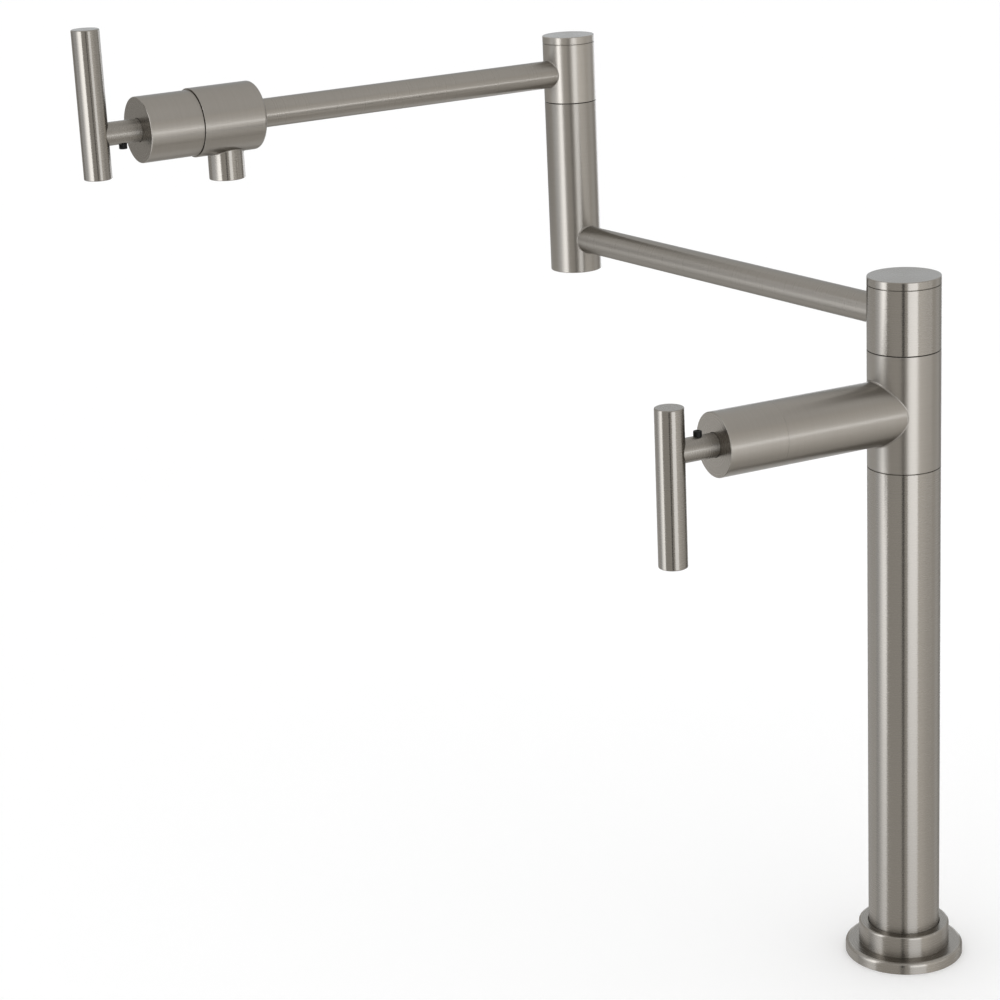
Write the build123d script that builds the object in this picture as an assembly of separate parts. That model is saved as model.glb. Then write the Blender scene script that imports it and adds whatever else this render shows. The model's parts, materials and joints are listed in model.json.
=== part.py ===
"""Deck mount pot filler: a tall column with a side valve, two swinging arms and a spout valve.

Sizes are in millimetres. The origin is the centre of the deck flange's underside, +Z is up, and the
side valve points along -X. Every piece is drawn where it lies at rest, with both valves closed.
Names that end in _r are radii.
"""

import os
from collections import namedtuple
from math import cos, radians, sin, sqrt

from build123d import *

# Heights of the arms' axes above the deck
lower_arm_height = 355.3
upper_arm_height = 452.8

# Heights counted from the arms' axes and from the side valve's axis
column_seat_drop = 17.3
column_sleeve_rise = 16.7
tee_above_valve = 31.6
tee_below_valve = 30.4
elbow_drop = 19.2
elbow_seat_drop = 16.8
elbow_sleeve_rise = 17.1
nozzle_drop = 32.5

# Plan: lengths between axes, and the directions of the arms at rest, in degrees from +X
lower_arm_reach = 286.3
upper_arm_reach = 225.0
lower_arm_angle = 96.9
upper_arm_angle = 184.9
side_valve_angle = 180.0

# Turned outlines
column_r = 19.0
column_wall = 1.5
elbow_r = 15.0
arm_r = 7.85
arm_wall = 1.2
side_valve_r = 16.75
spout_body_r = 18.6
spout_bonnet_r = 17.7
cap_height = 4.4
seam_gap = 0.4
seam_depth = 0.8
edge_break = 0.4
tee_fillet = 2.0

# Clearances
fixed_gap = 0.05
running_gap = 0.05
face_gap = 0.05
washer_gap = 0.3
stem_gap = 0.6

# Deck flange and what clamps it
flange_r = 31.5
flange_thickness = 4.5
boss_r = 24.2
boss_height = 18.0
boss_edge = 1.2
boss_gap = 0.5
gasket_inner_r = 21.0
gasket_outer_r = 28.0
gasket_thickness = 2.0
shank_r = 16.6
shank_bore_r = 8.0
shank_length = 60.0
shank_hole_gap = 0.6
shank_spigot_r = 13.2
shank_spigot_length = 18.0
hose_thread_r = 10.45
hose_thread_length = 14.0
deck_thickness = 30.0
washer_r = 28.0
rubber_washer_thickness = 3.0
steel_washer_thickness = 2.0
nut_across_flats = 42.0
nut_height = 9.0

# Column foot and the water tube inside the column
foot_height = 32.0
riser_r = 7.0
riser_wall = 1.0
riser_socket_depth = 9.0
riser_seal_depth = 1.7
riser_seal_height = 1.7
tee_spigot_length = 15.0

# Swivels: the arms turn on hollow posts
column_post_r = 10.0
elbow_post_r = 8.0
post_wall = 3.4
post_foot_step = 1.5
post_foot_length = 16.0
post_port_width = 5.0
post_port_height = 6.0
gallery_depth = 1.0
gallery_height = 8.0
post_seal_depth = 1.8
post_seal_height = 1.8
post_seal_offset = 7.0
sleeve_wall = 3.5
bearing_rise = 10.0
thrust_washer_thickness = 1.0
thrust_washer_inset = 2.0
slide_washer_thickness = 1.0
slide_washer_width = 2.8
circlip_thickness = 1.2
circlip_depth = 1.4
circlip_width = 2.0
circlip_opening = 40.0
post_tip = 1.5
arm_socket_step = 2.5
arm_port_r = 5.0
cap_spigot_length = 3.0
cap_spigot_wall = 1.8
elbow_bore_r = 8.0
elbow_floor = 10.0

# Both valves hold the same quarter-turn cartridge, laid out outward from its seat
side_joint_distance = 81.0
spout_behind_nozzle = 17.9
spout_before_nozzle = 19.3
spout_back_round = 2.0
spout_socket_depth = 4.5
chamber_length = 28.3
chamber_r = 12.5
seat_port_r = 4.5
outlet_port_r = 1.6
bonnet_thread_r = 14.8
bonnet_thread_length = 8.0
side_bonnet_length = 33.4
spout_bonnet_length = 31.2
bonnet_front_wall = 4.0
seat_seal_inner_r = 5.2
seat_seal_thickness = 2.0
disc_r = 7.6
disc_thickness = 3.0
disc_window_inner_r = 1.6
disc_window_outer_r = 6.4
disc_window_angle = 80.0
skirt_r = 8.7
skirt_length = 16.0
skirt_window_width = 7.0
driver_thickness = 4.0
cartridge_flange_r = 14.5
cartridge_flange_thickness = 3.0
neck_r = 8.5
neck_length = 8.0
spindle_r = 5.0
spindle_seal_depth = 1.6
spindle_seal_height = 1.6
stop_inner_r = 5.8
stop_height = 3.0
lug_angle = 40.0
stop_margin = 1.0
quarter_turn = 90.0

# Lever handles
lever_r = 7.5
side_lever_long_end = 58.9
side_lever_short_end = 23.4
spout_lever_long_end = 55.9
spout_lever_short_end = 23.1
lever_edge = 0.6
lever_standoff = 25.0
stem_r = 6.25
stem_tenon_r = 4.4
stem_tenon_length = 6.5
spline_r = 4.0
spline_to_lever = 12.0
set_screw_r = 2.2
set_screw_to_lever = 15.8
set_screw_stand = 2.6
hex_key_flats = 2.0
hex_key_depth = 1.8

# Nozzle
nozzle_r = 9.85
nozzle_bore_r = 6.0
nozzle_spigot_r = 7.5
mouth_r = 8.4
mouth_depth = 3.0
straightener_r = 7.9
straightener_height = 5.0
straightener_rim = 0.7
cell_flats = 1.9
cell_wall = 0.45

tee_top = lower_arm_height - column_seat_drop
side_valve_height = tee_top - tee_above_valve
column_top = side_valve_height - tee_below_valve
column_sleeve_top = lower_arm_height + column_sleeve_rise
elbow_bottom = lower_arm_height - elbow_drop
elbow_top = upper_arm_height - elbow_seat_drop
elbow_sleeve_top = upper_arm_height + elbow_sleeve_rise
spout_back_distance = upper_arm_reach - spout_behind_nozzle
spout_joint_distance = upper_arm_reach + spout_before_nozzle

Swivel = namedtuple("Swivel", "seat top arm_height outer_r post_r")
column_swivel = Swivel(tee_top, column_sleeve_top, lower_arm_height, column_r, column_post_r)
elbow_swivel = Swivel(elbow_top, elbow_sleeve_top, upper_arm_height, elbow_r, elbow_post_r)

side_lever_at = chamber_length + side_bonnet_length + lever_standoff
spout_lever_at = chamber_length + spout_bonnet_length + lever_standoff
Handle = namedtuple("Handle", "lever_at up long_end short_end")
side_handle = Handle(side_lever_at, -1, side_lever_long_end, side_lever_short_end)
spout_handle = Handle(spout_lever_at, 1, spout_lever_long_end, spout_lever_short_end)


def turned(*corners):
    """Solid turned about Z from an outline of (radius, height) corners."""
    return revolve(Plane.XZ * make_face(Polyline(*corners, close=True)), Axis.Z)


def ring(inner, outer, low, high, low_edge=0.0, high_edge=0.0):
    """Ring about Z, or a bar where inner is 0, with its outer corners broken by the two edges."""
    corners = [(inner, low), (outer - low_edge, low)]
    if low_edge:
        corners.append((outer, low + low_edge))
    corners.append((outer, high - high_edge))
    if high_edge:
        corners.append((outer - high_edge, high))
    corners.append((inner, high))
    return turned(*corners)


def bar(radius, low, high, low_edge=0.0, high_edge=0.0):
    return ring(0, radius, low, high, low_edge, high_edge)


def seal_ring(inner, depth, middle, height):
    """Square-section seal, centred on a height."""
    return ring(inner, inner + depth, middle - height / 2, middle + height / 2)


def sector(inner, outer, low, high, start, size):
    """Part of a ring that begins at the angle start and spans size degrees."""
    face = Polyline((inner, low), (outer, low), (outer, high), (inner, high), close=True)
    return Rot(0, 0, start) * revolve(Plane.XZ * make_face(face), Axis.Z, size)


def outward(angle, height, distance=0.0, centre=(0.0, 0.0)):
    """Frame with its Z axis level at the plan angle and its X axis up, that far from the centre."""
    way = Vector(cos(radians(angle)), sin(radians(angle)), 0)
    start = Vector(*centre, height) + way * distance
    return Plane(origin=start, x_dir=(0, 0, 1), z_dir=way)


elbow_centre = (
    lower_arm_reach * cos(radians(lower_arm_angle)),
    lower_arm_reach * sin(radians(lower_arm_angle)),
)
elbow_place = Pos(*elbow_centre, 0)
side_seat_distance = side_joint_distance - chamber_length
spout_seat_distance = spout_joint_distance - chamber_length
side_valve = outward(side_valve_angle, side_valve_height, side_seat_distance)
spout_valve = outward(upper_arm_angle, upper_arm_height, spout_seat_distance, elbow_centre)
thread_end = chamber_length + bonnet_thread_length
flange_end = thread_end + cartridge_flange_thickness
neck_end = flange_end + neck_length


# Deck flange, gasket and shank

def deck_flange():
    """Turned disc with a raised boss that the column stands in."""
    hole = shank_r + shank_hole_gap
    pocket = column_r + boss_gap
    body = ring(hole, flange_r, 0, flange_thickness, edge_break / 2, edge_break)
    body += ring(pocket, boss_r, flange_thickness, boss_height, 0, boss_edge)
    groove = ring(
        gasket_inner_r - face_gap, gasket_outer_r + face_gap, -1, gasket_thickness + face_gap
    )
    return body - groove


def deck_gasket():
    return ring(gasket_inner_r, gasket_outer_r, 0, gasket_thickness)


def mounting_shank():
    """Threaded tail that passes through the deck, with a thinner spigot up into the foot."""
    low = -shank_length
    top = flange_thickness
    body = bar(shank_r, low, top, edge_break, 0)
    body += bar(shank_spigot_r, top, top + shank_spigot_length, 0, edge_break)
    body += bar(hose_thread_r, low - hose_thread_length, low, edge_break, 0)
    bore = bar(shank_bore_r, low - hose_thread_length - 1, top + shank_spigot_length + 1)
    return body - bore


def under_deck_seal():
    top = -deck_thickness
    return ring(shank_r + shank_hole_gap, washer_r, top - rubber_washer_thickness, top)


def under_deck_washer():
    top = -deck_thickness - rubber_washer_thickness
    return ring(shank_r + shank_hole_gap, washer_r, top - steel_washer_thickness, top)


def mounting_nut():
    """Hexagon nut with turned corners."""
    top = -deck_thickness - rubber_washer_thickness - steel_washer_thickness
    hexagon = RegularPolygon(nut_across_flats / 2, 6, major_radius=False)
    body = Pos(0, 0, top - nut_height) * extrude(hexagon, nut_height)
    corner_r = nut_across_flats / sqrt(3)
    turn = corner_r - nut_across_flats / 2
    body &= bar(corner_r, top - nut_height, top, turn / 2, turn / 2)
    return body - bar(shank_r + fixed_gap, top - nut_height - 1, top + 1)


# Column

def riser_socket(open_end, depth, up):
    """Cut for the riser's end, with the groove of its seal halfway down."""
    way = 1 if up else -1
    floor = open_end + way * depth
    low, high = sorted((open_end - way, floor))
    middle = (open_end + floor) / 2
    groove_r = riser_r + riser_seal_depth + 2 * fixed_gap
    half = riser_seal_height / 2 + fixed_gap
    return bar(riser_r + fixed_gap, low, high) + bar(groove_r, middle - half, middle + half)


foot_low = flange_thickness
foot_high = flange_thickness + foot_height
riser_low = foot_high - riser_socket_depth + face_gap
riser_high = column_top - tee_spigot_length + riser_socket_depth - face_gap


def column_foot():
    """Plug brazed into the column, screwed onto the shank and bored for the riser."""
    body = bar(column_r - column_wall - fixed_gap, foot_low, foot_high)
    body -= bar(shank_spigot_r + fixed_gap, foot_low - 1, foot_low + shank_spigot_length + face_gap)
    body -= bar(riser_r - riser_wall, foot_low, foot_high)
    return body - riser_socket(foot_high, riser_socket_depth, up=False)


def column_tube():
    return ring(column_r - column_wall, column_r, flange_thickness, column_top, edge_break, 0)


def riser_tube():
    return ring(riser_r - riser_wall, riser_r, riser_low, riser_high)


def riser_seals():
    low = foot_high - riser_socket_depth / 2
    high = column_top - tee_spigot_length + riser_socket_depth / 2
    inner = riser_r + fixed_gap
    return [seal_ring(inner, riser_seal_depth, at, riser_seal_height) for at in (low, high)]


def tee_body():
    """Upright body with the side valve's arm, and the water ways from riser to seat to post."""
    upright = bar(column_r, column_top + seam_gap, tee_top, edge_break / 2, edge_break / 2)
    arm = bar(side_valve_r, -side_seat_distance, chamber_length, 0, edge_break / 4)
    body = upright + side_valve * arm
    saddle = [
        e for e in body.edges() if e.geom_type not in (GeomType.LINE, GeomType.CIRCLE)
    ]
    body = fillet(saddle, tee_fillet)
    body += bar(column_r - seam_depth, column_top, column_top + seam_gap)
    body += bar(column_r - column_wall - fixed_gap, column_top - tee_spigot_length, column_top)
    body += side_valve * bar(bonnet_thread_r, 0, thread_end)
    body -= riser_socket(column_top - tee_spigot_length, riser_socket_depth, up=True)
    body -= bar(riser_r - riser_wall, column_top - tee_spigot_length, side_valve_height)
    body -= side_valve * bar(seat_port_r, -side_seat_distance, 1)
    body -= side_valve * bar(chamber_r, 0, thread_end + 1)
    body -= post_socket(column_swivel)
    return body - outlet_way()


def outlet_way():
    """Passage from the side valve's chamber, above its seat, to the column's post."""
    offset = (skirt_r + chamber_r) / 2
    level = side_valve * (Pos(offset, 0, 0) * bar(outlet_port_r, -side_seat_distance, 1))
    post_bore_r = column_post_r - post_wall
    return level + bar(post_bore_r, side_valve_height + offset - outlet_port_r, tee_top)


# Swivels

def post_socket(swivel):
    foot_r = swivel.post_r + post_foot_step + fixed_gap
    return bar(foot_r, swivel.seat - post_foot_length, swivel.seat + 1)


def pivot_post(swivel):
    """Hollow post with a gallery at the arm, a seal above and below it, and a clip groove."""
    level = swivel.arm_height
    clip_low = level + bearing_rise + face_gap + slide_washer_thickness
    top = clip_low + circlip_thickness + 2 * face_gap + post_tip
    foot_low = swivel.seat - post_foot_length + face_gap
    body = bar(swivel.post_r, foot_low, top, 0, edge_break)
    body += bar(swivel.post_r + post_foot_step, foot_low, swivel.seat)
    body -= bar(swivel.post_r - post_wall, foot_low - 1, level + gallery_height / 2)
    groove_out = swivel.post_r + 1
    half = gallery_height / 2
    body -= ring(swivel.post_r - gallery_depth, groove_out, level - half, level + half)
    for side in (-1, 1):
        middle = level + side * post_seal_offset
        half = post_seal_height / 2 + fixed_gap
        floor_r = swivel.post_r - post_seal_depth - fixed_gap
        body -= ring(floor_r, groove_out, middle - half, middle + half)
    clip_high = clip_low + circlip_thickness + 2 * face_gap
    body -= ring(swivel.post_r - circlip_depth, groove_out, clip_low, clip_high)
    return body - Pos(0, 0, level) * Box(2 * groove_out, post_port_width, post_port_height)


def post_seals(swivel):
    inner = swivel.post_r - post_seal_depth
    heights = [swivel.arm_height + side * post_seal_offset for side in (-1, 1)]
    return [seal_ring(inner, post_seal_depth, at, post_seal_height) for at in heights]


def thrust_washer(swivel):
    """Low-friction ring that carries the sleeve and shows as the dark seam."""
    outer = swivel.outer_r - thrust_washer_inset
    low = swivel.seat
    return ring(swivel.post_r + 2 * fixed_gap, outer, low, low + thrust_washer_thickness)


def slide_washer(swivel):
    low = swivel.arm_height + bearing_rise + face_gap
    inner = swivel.post_r + 2 * fixed_gap
    return ring(inner, swivel.post_r + slide_washer_width, low, low + slide_washer_thickness)


def circlip(swivel):
    low = swivel.arm_height + bearing_rise + 2 * face_gap + slide_washer_thickness
    inner = swivel.post_r - circlip_depth + fixed_gap
    outer = swivel.post_r + circlip_width
    size = 360 - circlip_opening
    return sector(inner, outer, low, low + circlip_thickness, circlip_opening / 2, size)


def swivel_sleeve(swivel, arm_angle):
    """Sleeve that turns on the post, with the arm's socket and a pocket for washer and clip."""
    low = swivel.seat + seam_gap
    body = bar(swivel.outer_r, low, swivel.top, edge_break / 2, edge_break / 2)
    body -= bar(swivel.post_r + running_gap, low - 1, swivel.top)
    recess_r = swivel.outer_r - thrust_washer_inset + washer_gap
    body -= bar(recess_r, low - 1, swivel.seat + thrust_washer_thickness + face_gap)
    pocket_r = swivel.outer_r - sleeve_wall
    body -= bar(pocket_r, swivel.arm_height + bearing_rise, swivel.top + 1)
    frame = outward(arm_angle, swivel.arm_height)
    body -= frame * bar(arm_port_r, 0, swivel.outer_r)
    start = swivel.post_r + arm_socket_step
    return body - frame * bar(arm_r + fixed_gap, start, swivel.outer_r + 1)


def swivel_cap(swivel):
    """Screw-in cap that leaves a thin groove above the sleeve."""
    top = swivel.top + cap_height
    spigot_r = swivel.outer_r - sleeve_wall - fixed_gap
    body = bar(swivel.outer_r, swivel.top + seam_gap, top, edge_break / 2, edge_break)
    body += bar(swivel.outer_r - seam_depth, swivel.top, swivel.top + seam_gap)
    return body + ring(
        spigot_r - cap_spigot_wall, spigot_r, swivel.top - cap_spigot_length, swivel.top
    )


# Arms and elbow

def arm_tube(swivel, angle, end_distance, centre=(0.0, 0.0)):
    """Tube from its socket in the swivel's sleeve to the far piece's socket."""
    start = swivel.post_r + arm_socket_step + face_gap
    frame = outward(angle, swivel.arm_height, 0, centre)
    return frame * ring(arm_r - arm_wall, arm_r, start, end_distance)


def elbow_body():
    """Upright bar, bored from the top, that the lower arm is brazed into."""
    body = bar(elbow_r, elbow_bottom, elbow_top, edge_break, edge_break / 2)
    body -= bar(elbow_bore_r, elbow_bottom + elbow_floor, elbow_top)
    body -= post_socket(elbow_swivel)
    frame = outward(lower_arm_angle + 180, lower_arm_height)
    body -= frame * bar(arm_port_r, 0, elbow_r)
    socket = frame * bar(arm_r + fixed_gap, elbow_bore_r + arm_socket_step, elbow_r + 1)
    return elbow_place * (body - socket)


# Valves, drawn outward along Z from the cartridge's seat

def valve_bonnet(outer_r, length):
    """Cup that screws over the valve's thread and hides the cartridge's neck."""
    front = chamber_length + length
    clamp = flange_end + face_gap
    body = bar(outer_r, chamber_length, front, edge_break / 4, edge_break)
    body -= bar(bonnet_thread_r + fixed_gap, chamber_length - 1, clamp)
    body -= bar(chamber_r, clamp - 1, front - bonnet_front_wall)
    return body - bar(stem_r + stem_gap, front - bonnet_front_wall - 1, front + 1)


def seat_seal():
    return ring(seat_seal_inner_r, disc_r, 0, seat_seal_thickness)


def disc_with_windows(low, turn):
    """Ceramic disc with two opposite windows."""
    body = bar(disc_r, low, low + disc_thickness)
    for start in (turn, turn + 180):
        body -= sector(
            disc_window_inner_r,
            disc_window_outer_r,
            low - 1,
            low + disc_thickness + 1,
            start - disc_window_angle / 2,
            disc_window_angle,
        )
    return body


def fixed_disc():
    return disc_with_windows(seat_seal_thickness, 90)


moving_disc_low = seat_seal_thickness + disc_thickness + face_gap
driver_low = moving_disc_low + disc_thickness
driver_high = driver_low + driver_thickness


def moving_disc():
    return disc_with_windows(moving_disc_low, 0)


def cartridge_body():
    """Brass body: a skirt round the discs, a clamped flange, and a neck with the turn stop."""
    low = seat_seal_thickness
    body = bar(skirt_r, low, skirt_length)
    body += bar(chamber_r - fixed_gap, skirt_length, thread_end)
    body += bar(cartridge_flange_r, thread_end, flange_end)
    body += bar(neck_r, flange_end, neck_end)
    stop_start = quarter_turn + lug_angle / 2 + stop_margin
    stop_size = 360 - quarter_turn - lug_angle - 2 * stop_margin
    body += sector(stop_inner_r, neck_r, neck_end - 1, neck_end + stop_height, stop_start, stop_size)
    body -= bar(disc_r + fixed_gap, low - 1, driver_high + 2 * face_gap)
    body -= bar(spindle_r + running_gap, low, neck_end + 1)
    window = Pos(0, 0, (driver_low + driver_high) / 2)
    window *= Rot(90, 0, 0)
    return body - window * Cylinder(skirt_window_width / 2, 2 * skirt_r + 2)


def spindle(lever_at):
    """Spindle with its driver plate, stop lug and spline end."""
    body = bar(disc_r - stem_gap, driver_low, driver_high)
    body += bar(spindle_r, driver_high, neck_end + stop_height)
    body += bar(spline_r, neck_end + stop_height, lever_at - spline_to_lever, 0, edge_break)
    lug_low = neck_end + face_gap
    body += sector(
        spindle_r - 1, neck_r - washer_gap, lug_low, neck_end + stop_height,
        -lug_angle / 2, lug_angle
    )
    half = spindle_seal_height / 2 + fixed_gap
    floor_r = spindle_r - spindle_seal_depth - fixed_gap
    return body - ring(floor_r, spindle_r + 1, skirt_length - half, skirt_length + half)


def spindle_seal():
    inner = spindle_r - spindle_seal_depth
    return seal_ring(inner, spindle_seal_depth, skirt_length, spindle_seal_height)


def handle_stem(handle):
    """Stem with a spline socket, a saddled end with a tenon, and the set screw's hole."""
    low = neck_end + stop_height + face_gap
    body = bar(stem_r, low, handle.lever_at, edge_break, 0)
    body -= lever_bar(handle, fixed_gap)
    saddle = handle.lever_at - lever_r
    body += bar(stem_tenon_r, saddle - 1, saddle + stem_tenon_length)
    body -= bar(spline_r + fixed_gap, low - 1, handle.lever_at - spline_to_lever + face_gap)
    return body - screw_frame(handle) * bar(set_screw_r + fixed_gap, 0, stem_r + 1)


def lever_bar(handle, grow=0.0):
    """Round bar across the stem: its long end points up where up is 1, and down where it is -1."""
    frame = Pos(0, 0, handle.lever_at) * Rot(0, 90 * handle.up, 0)
    long_end = handle.long_end + grow
    short_end = handle.short_end + grow
    return frame * bar(lever_r + grow, -short_end, long_end, lever_edge, lever_edge)


def lever(handle):
    saddle = handle.lever_at - lever_r
    hole = bar(stem_tenon_r + fixed_gap, saddle - 1, saddle + stem_tenon_length + face_gap)
    return lever_bar(handle) - hole


def screw_frame(handle):
    """Frame of the set screw: it stands out of the stem beside the lever's short end."""
    return Pos(0, 0, handle.lever_at - set_screw_to_lever) * Rot(0, -90 * handle.up, 0)


def set_screw(handle):
    end = stem_r + set_screw_stand
    body = bar(set_screw_r, spline_r + 2 * fixed_gap, end, 0, edge_break / 2)
    key = RegularPolygon(hex_key_flats / 2, 6, major_radius=False)
    body -= Pos(0, 0, end - hex_key_depth) * extrude(key, hex_key_depth + 1)
    return screw_frame(handle) * body


def spout_valve_body():
    """Round body with the arm's socket behind, the chamber in front and the nozzle's hole below."""
    back = spout_back_distance - spout_seat_distance
    body = bar(spout_body_r, back, chamber_length, 0, edge_break / 2)
    rear = body.edges().filter_by(GeomType.CIRCLE).group_by(Axis.Z)[0]
    body = fillet(rear, spout_back_round)
    body += bar(bonnet_thread_r, 0, thread_end)
    body -= bar(arm_r + fixed_gap, back - 1, back + spout_socket_depth)
    body -= bar(seat_port_r, back, 1)
    body -= bar(chamber_r, 0, thread_end + 1)
    hole = nozzle_frame() * bar(nozzle_spigot_r + fixed_gap, 0, spout_body_r + 1)
    return body - hole


def nozzle_frame():
    """Frame on the spout valve's axis whose Z points down the nozzle."""
    return Pos(0, 0, upper_arm_reach - spout_seat_distance) * Rot(0, -90, 0)


def nozzle():
    """Short spout with a spigot up into the valve body and a stepped mouth."""
    body = bar(nozzle_r, 0, nozzle_drop, 0, edge_break)
    body -= Rot(0, 90, 0) * bar(spout_body_r + fixed_gap, -nozzle_r - 1, nozzle_r + 1)
    body += bar(nozzle_spigot_r, chamber_r + washer_gap, spout_body_r + 2)
    body -= bar(nozzle_bore_r, 0, nozzle_drop)
    shelf = nozzle_drop - mouth_depth - straightener_height
    body -= bar(straightener_r, shelf, nozzle_drop)
    body -= bar(mouth_r, nozzle_drop - mouth_depth, nozzle_drop + 1)
    return nozzle_frame() * body


def flow_straightener():
    """Honeycomb disc in the nozzle's mouth that calms the stream."""
    high = nozzle_drop - mouth_depth
    low = high - straightener_height + face_gap
    outer = straightener_r - fixed_gap
    pitch = cell_flats + cell_wall
    cell_corner = cell_flats / sqrt(3)
    reach = outer - straightener_rim - cell_corner
    rows = int(reach / (pitch * sqrt(3) / 2))
    spots = []
    for row in range(-rows, rows + 1):
        y = row * pitch * sqrt(3) / 2
        shift = pitch / 2 if row % 2 else 0
        columns = int(reach / pitch) + 1
        for column in range(-columns, columns + 1):
            x = column * pitch + shift
            if x * x + y * y <= reach * reach:
                spots.append((x, y))
    cells = Locations(*spots)
    cell = RegularPolygon(cell_flats / 2, 6, major_radius=False)
    face = Circle(outer) - [place * (Rot(0, 0, 30) * cell) for place in cells]
    return nozzle_frame() * (Pos(0, 0, low) * extrude(face, high - low))


def valve_pieces(prefix, frame, bonnet_r, bonnet_length, handle):
    """The pieces that the two valves share, placed in the valve's frame."""
    pieces = {
        "bonnet": valve_bonnet(bonnet_r, bonnet_length),
        "seat_seal": seat_seal(),
        "fixed_disc": fixed_disc(),
        "cartridge_body": cartridge_body(),
        "moving_disc": moving_disc(),
        "spindle": spindle(handle.lever_at),
        "spindle_seal": spindle_seal(),
        "handle_stem": handle_stem(handle),
        "lever": lever(handle),
        "set_screw": set_screw(handle),
    }
    return {f"{prefix}_{name}": frame * piece for name, piece in pieces.items()}


def swivel_pieces(prefix, swivel, arm_angle, place):
    """The pieces of one upright swivel, placed on its axis."""
    pieces = {
        "pivot_post": pivot_post(swivel),
        "thrust_washer": thrust_washer(swivel),
        "slide_washer": slide_washer(swivel),
        "circlip": circlip(swivel),
        "swivel_sleeve": swivel_sleeve(swivel, arm_angle),
        "cap": swivel_cap(swivel),
    }
    placed = {f"{prefix}_{name}": place * piece for name, piece in pieces.items()}
    placed[f"{prefix}_post_seals"] = [place * seal for seal in post_seals(swivel)]
    return placed


def all_pieces():
    lower_end = lower_arm_reach - elbow_bore_r - arm_socket_step - face_gap
    upper_end = spout_back_distance + spout_socket_depth - face_gap
    pieces = {
        "deck_flange": deck_flange(),
        "deck_gasket": deck_gasket(),
        "mounting_shank": mounting_shank(),
        "under_deck_seal": under_deck_seal(),
        "under_deck_washer": under_deck_washer(),
        "mounting_nut": mounting_nut(),
        "column_foot": column_foot(),
        "column_tube": column_tube(),
        "riser_tube": riser_tube(),
        "riser_seals": riser_seals(),
        "tee_body": tee_body(),
        "lower_arm_tube": arm_tube(column_swivel, lower_arm_angle, lower_end),
        "elbow_body": elbow_body(),
        "upper_arm_tube": arm_tube(elbow_swivel, upper_arm_angle, upper_end, elbow_centre),
        "spout_valve_body": spout_valve * spout_valve_body(),
        "nozzle": spout_valve * nozzle(),
        "flow_straightener": spout_valve * flow_straightener(),
    }
    pieces |= swivel_pieces("column", column_swivel, lower_arm_angle, Pos(0, 0, 0))
    pieces |= swivel_pieces("elbow", elbow_swivel, upper_arm_angle, elbow_place)
    pieces |= valve_pieces("side", side_valve, side_valve_r, side_bonnet_length, side_handle)
    pieces |= valve_pieces("spout", spout_valve, spout_bonnet_r, spout_bonnet_length, spout_handle)
    return pieces


os.makedirs("parts", exist_ok=True)
for node, piece in all_pieces().items():
    solids = piece if isinstance(piece, list) else [piece]
    export_step(Compound([s for part in solids for s in part.solids()]), f"parts/{node}.step")
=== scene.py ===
"""Looks of the deck mount pot filler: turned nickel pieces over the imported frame, and the studio.

Lengths in the shape tables are millimetres and become metres in the mesh code. A turned piece is
an outline of (radius, distance along its axis, edge radius) corners, where no third number means
a sharp corner.
"""

import json
from math import acos, ceil, cos, dist, pi, radians, sin, sqrt, tan

import bpy
from mathutils import Matrix, Vector


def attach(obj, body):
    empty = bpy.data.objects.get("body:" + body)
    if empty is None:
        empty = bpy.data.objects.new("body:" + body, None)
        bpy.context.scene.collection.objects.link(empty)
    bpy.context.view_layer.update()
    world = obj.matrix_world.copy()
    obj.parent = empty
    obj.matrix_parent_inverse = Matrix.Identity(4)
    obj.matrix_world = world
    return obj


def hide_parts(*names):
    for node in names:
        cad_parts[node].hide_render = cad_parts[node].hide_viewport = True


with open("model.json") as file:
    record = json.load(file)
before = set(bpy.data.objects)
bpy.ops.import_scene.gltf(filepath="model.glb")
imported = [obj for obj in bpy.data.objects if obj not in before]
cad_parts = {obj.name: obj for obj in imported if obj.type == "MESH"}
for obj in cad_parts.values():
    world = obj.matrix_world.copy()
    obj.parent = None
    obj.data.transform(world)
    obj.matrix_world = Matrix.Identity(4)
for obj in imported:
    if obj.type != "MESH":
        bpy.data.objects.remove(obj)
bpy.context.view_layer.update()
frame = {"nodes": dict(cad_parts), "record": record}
MM = 0.001

# Sizes shared with the solids

# Radii, and the gasket's thickness
FLANGE_R, BOSS_R, GASKET_INNER_R, GASKET_OUTER_R, GASKET_THICKNESS = 31.5, 24.2, 21.0, 28.0, 2.0
SHANK_R, SPIGOT_R, HOSE_R, SHANK_BORE_R = 16.6, 13.2, 10.45, 8.0
COLUMN_R, ELBOW_R, ARM_R = 19.0, 15.0, 7.85
COLUMN_POST_R, ELBOW_POST_R = 10.0, 8.0
SIDE_R, SPOUT_R, BONNET_R = 16.75, 18.6, 17.7
CHAMBER_R, SEAT_PORT_R, BONNET_THREAD_R = 12.5, 4.5, 14.8
LEVER_R, STEM_R = 7.5, 6.25
NOZZLE_R, NOZZLE_BORE_R, MOUTH_R, STRAIGHTENER_R = 9.85, 6.0, 8.4, 7.9

# Heights above the deck, upwards
HOSE_LOW, SHANK_LOW, COLUMN_LOW, BOSS_TOP, SPIGOT_TOP = -74, -60, 4.5, 18, 22.5
TEE_LOW, COLUMN_TOP, SIDE_Z, TEE_TOP, LOWER_Z, COLUMN_SLEEVE_TOP = 261, 276, 306.4, 338, 355.3, 372
ELBOW_LOW, ELBOW_TOP, UPPER_Z, ELBOW_SLEEVE_TOP = 336.1, 436, 452.8, 469.9

# Distances out along the side valve, the lower arm and the upper arm
SIDE_JOINT, SIDE_FRONT = 81, 114.4
LOWER_REACH, NOZZLE_REACH = 286.3, 225.0
SPOUT_BACK, SPOUT_JOINT, SPOUT_FRONT = 207.1, 244.3, 275.5

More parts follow.
